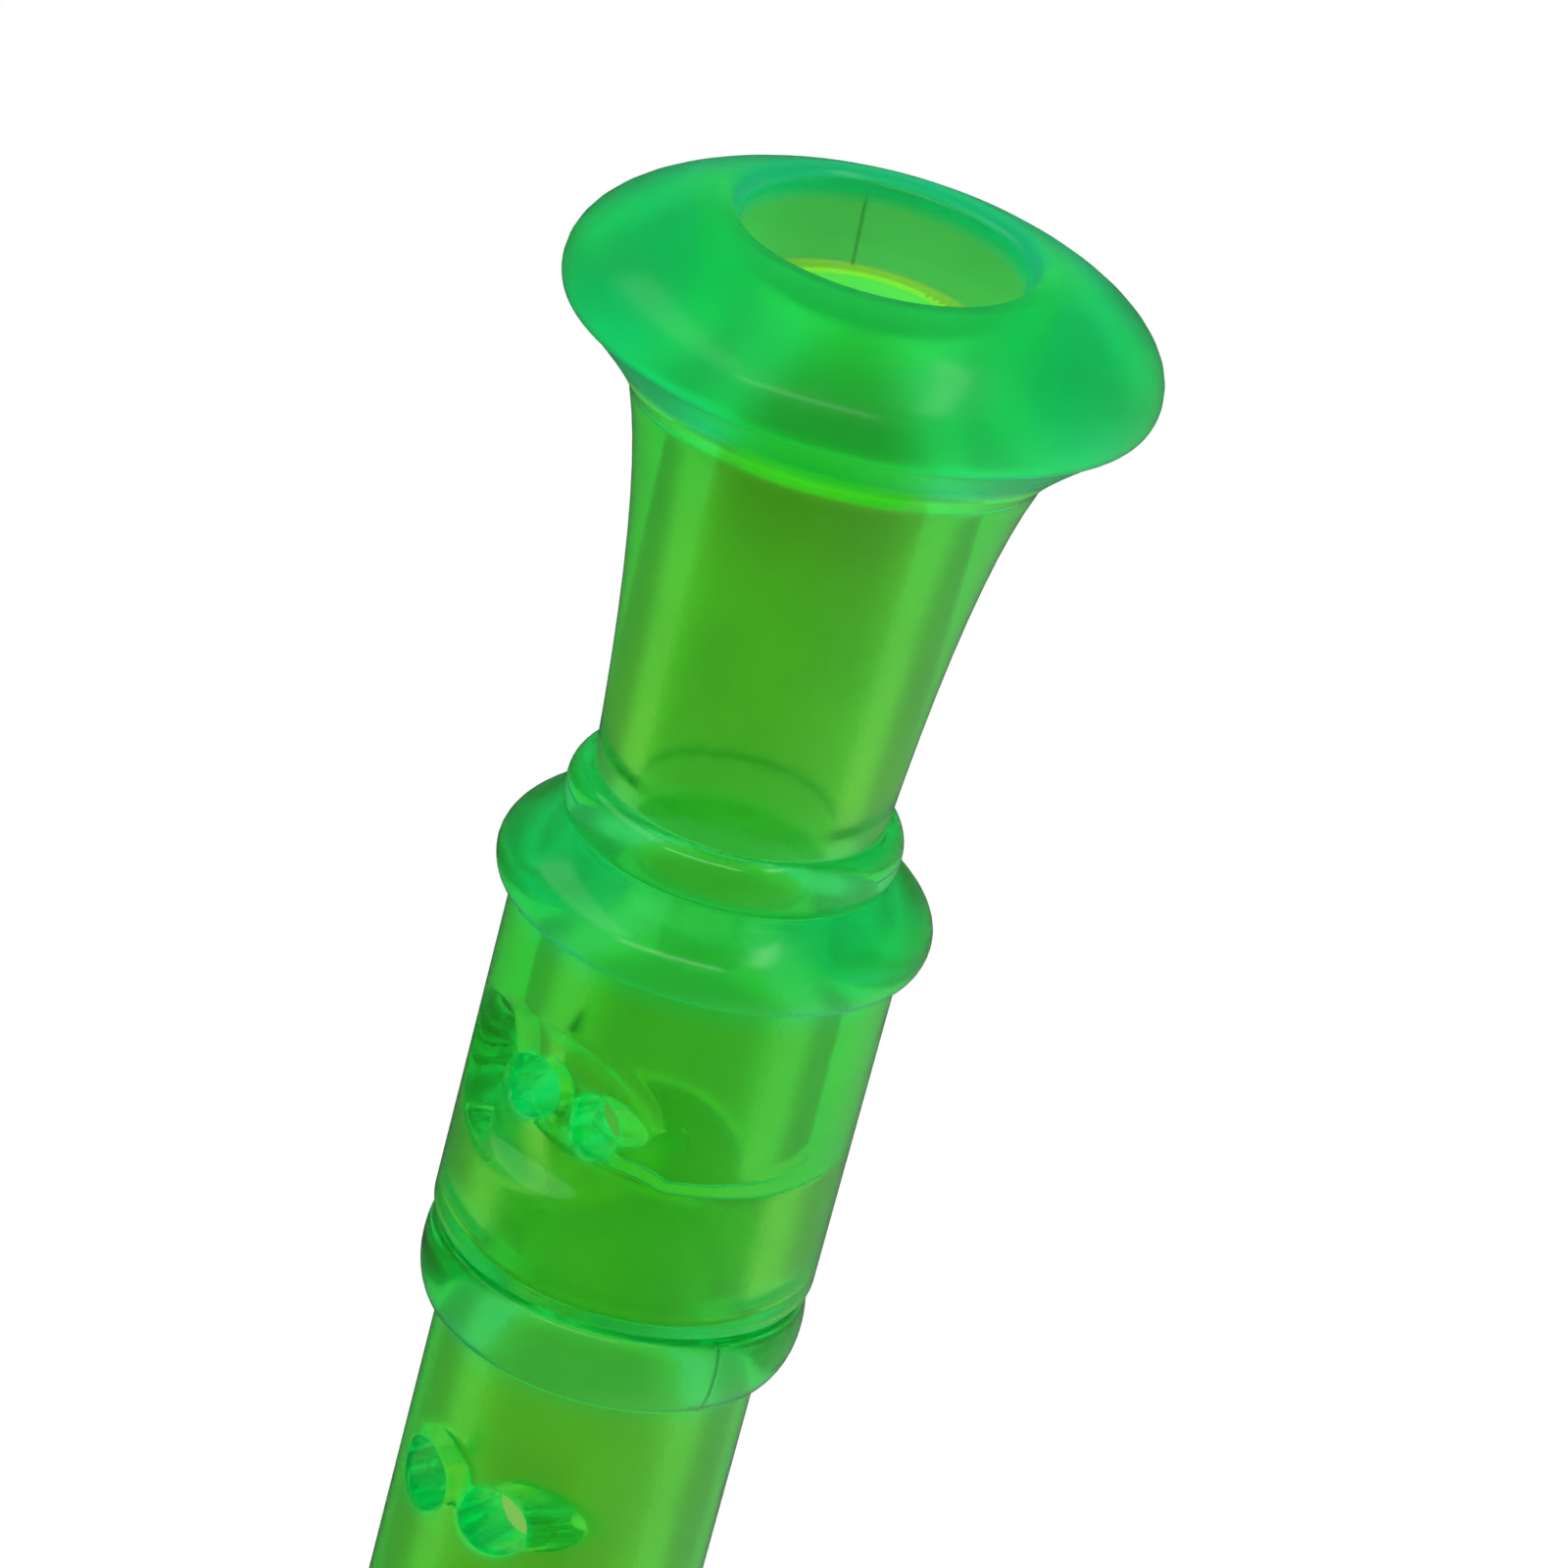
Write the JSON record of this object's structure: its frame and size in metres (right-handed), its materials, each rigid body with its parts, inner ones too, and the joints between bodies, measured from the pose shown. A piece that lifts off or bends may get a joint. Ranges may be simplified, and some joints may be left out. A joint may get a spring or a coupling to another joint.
{
  "type": "soprano recorder",
  "caption": "Clear green plastic duct flute in separate joints: flared foot with beads and a scooped double hole, tube with finger holes, beaked head with an inner block.",
  "frame": {"origin": "centre of the bell's end face, on the plane that the recorder stands on", "axes": "+Z along the bore from the bell to the mouthpiece, -Y towards the finger holes, +Y towards the thumb hole"},
  "size_m": [0.0338, 0.0338, 0.3282],
  "materials": {
    "foot_plastic": "clear green, smooth moulded gloss",
    "middle_plastic": "clear green, smooth moulded gloss",
    "head_plastic": "clear green, smooth moulded gloss",
    "block_plastic": "clear green, smooth moulded gloss"
  },
  "bodies": {
    "middle": {"middle_joint": "middle_plastic"},
    "foot": {"foot_joint": "foot_plastic"},
    "head": {"head_joint": "head_plastic", "fipple_block": "block_plastic"}
  },
  "joints": [
    {"name": "foot_twist", "type": "hinge", "parent": "middle", "child": "foot", "pos_m": [0, 0, 0.0634], "axis": [0, 0, 1], "continuous": true},
    {"name": "head_slide", "type": "slide", "parent": "middle", "child": "head", "axis": [0, 0, 1], "range_m": [0, 0.02]}
  ]
}
